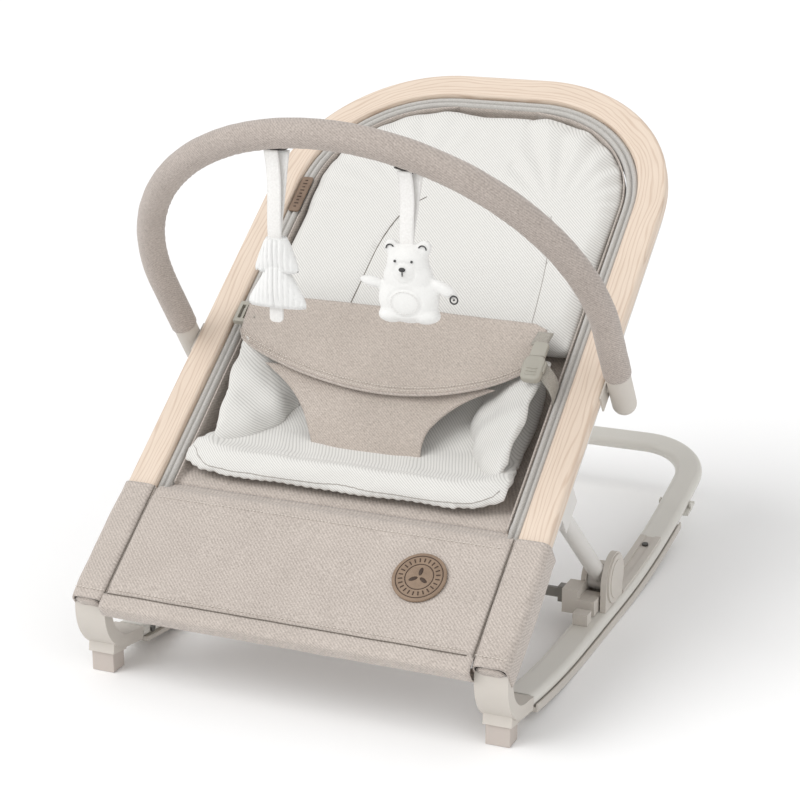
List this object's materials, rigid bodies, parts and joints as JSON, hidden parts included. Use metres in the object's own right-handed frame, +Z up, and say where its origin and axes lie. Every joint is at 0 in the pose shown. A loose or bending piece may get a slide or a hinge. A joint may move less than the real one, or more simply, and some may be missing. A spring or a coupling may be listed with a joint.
{
  "type": "folding infant bouncer seat",
  "caption": "Infant bouncer with a wooden-rimmed fabric seat on curved rocker rails, padded liner, waist belt and an arched toy bar with hanging toys.",
  "frame": {"origin": "on the floor, under the middle of the box that holds the whole seat at rest", "axes": "+X to the right seen from the front, +Y to the back, +Z up"},
  "size_m": [0.447, 0.669, 0.4902],
  "materials": {
    "steel": "satin powder coat",
    "shell": "fine matte",
    "rubber": "matte",
    "foot": "matte",
    "screw": "dark zinc",
    "darkbar": "satin",
    "wood": "clear matte lacquer",
    "twill": "woven twill",
    "band": "ribbed band",
    "cushion": "fine striped jersey",
    "belt": "woven twill",
    "webbing": "webbing",
    "buckle": "matte",
    "leather": "matte embossed",
    "barcloth": "woven cover over foam",
    "plush": "short plush"
  },
  "bodies": {
    "base": {"base_tube": "steel", "runner_left": "shell", "runner_right": "shell", "elbow_left": "shell", "elbow_right": "shell", "foot_left": "foot", "foot_right": "foot", "hinge_pins": "steel", "rear_pad_left": "rubber", "rear_pad_right": "rubber", "hub_left": "shell", "hub_right": "shell", "hub_cover_left": "shell", "hub_cover_right": "shell", "track_plate_left": "shell", "track_plate_right": "shell", "rail_screws": "screw", "stop_block_left": "shell", "stop_block_right": "shell"},
    "release": {"release_bar": "darkbar", "release_block_left": "shell", "release_block_right": "shell"},
    "strut_l": {"strut_left": "steel"},
    "strut_r": {"strut_right": "steel"},
    "toy_bar": {"bar_core": "steel", "bar_sleeve": "barcloth", "bar_cap_left": "shell", "bar_cap_right": "shell"},
    "tree": {"tree_toy": "plush", "tree_strap": "plush"},
    "bear": {"bear_toy": "plush", "bear_strap": "plush"},
    "seat": {"wood_rim": "wood", "seat_tube": "steel", "hinge_fork_left": "shell", "hinge_fork_right": "shell", "strut_bracket_left": "steel", "strut_bracket_right": "steel", "sleeve_left": "twill", "sleeve_right": "twill", "fabric_sling": "twill", "inner_band": "band", "front_panel": "twill", "bottom_hem": "twill", "back_pad": "cushion", "seat_pad": "cushion", "wing_left": "cushion", "wing_right": "cushion", "waist_belt": "belt", "crotch_panel": "belt", "webbing_left": "webbing", "webbing_right": "webbing", "ladder_buckle": "buckle", "buckle_socket": "buckle", "buckle_tongue": "buckle", "badge": "leather", "side_tag": "leather", "bar_clip_left": "shell", "bar_clip_right": "shell"}
  },
  "joints": [
    {"name": "seat_fold", "type": "hinge", "parent": "base", "child": "seat", "pos_m": [0, -0.30818, 0.08134], "axis": [1, 0, 0], "range_deg": [-34, 0]},
    {"name": "strut_left_fold", "type": "hinge", "parent": "base", "child": "strut_l", "pos_m": [-0.18, -0.02397, 0.04], "axis": [1, 0, 0], "range_deg": [0, 39.1]},
    {"name": "strut_right_fold", "type": "hinge", "parent": "base", "child": "strut_r", "pos_m": [0.18, -0.02397, 0.04], "axis": [1, 0, 0], "range_deg": [0, 39.1]},
    {"name": "release_pull", "type": "slide", "parent": "base", "child": "release", "axis": [0, -1, 0], "range_m": [0, 0.008], "stiffness_N_per_m": 1500},
    {"name": "toy_bar_tilt", "type": "hinge", "parent": "seat", "child": "toy_bar", "pos_m": [0, -0.08151, 0.24232], "axis": [1, 0, 0], "range_deg": [-45, 45]},
    {"name": "tree_swing", "type": "hinge", "parent": "toy_bar", "child": "tree", "pos_m": [-0.03483, -0.25086, 0.4754], "axis": [0.9863, -0.097, 0.1335], "range_deg": [-35, 35]},
    {"name": "bear_swing", "type": "hinge", "parent": "toy_bar", "child": "bear", "pos_m": [0.07904, -0.24353, 0.46531], "axis": [0.9272, 0.2202, -0.3031], "range_deg": [-35, 35]}
  ],
  "couplings": [
    {"joint": "strut_left_fold", "follows": "seat_fold", "ratio": -1.15},
    {"joint": "strut_right_fold", "follows": "seat_fold", "ratio": -1.15}
  ]
}
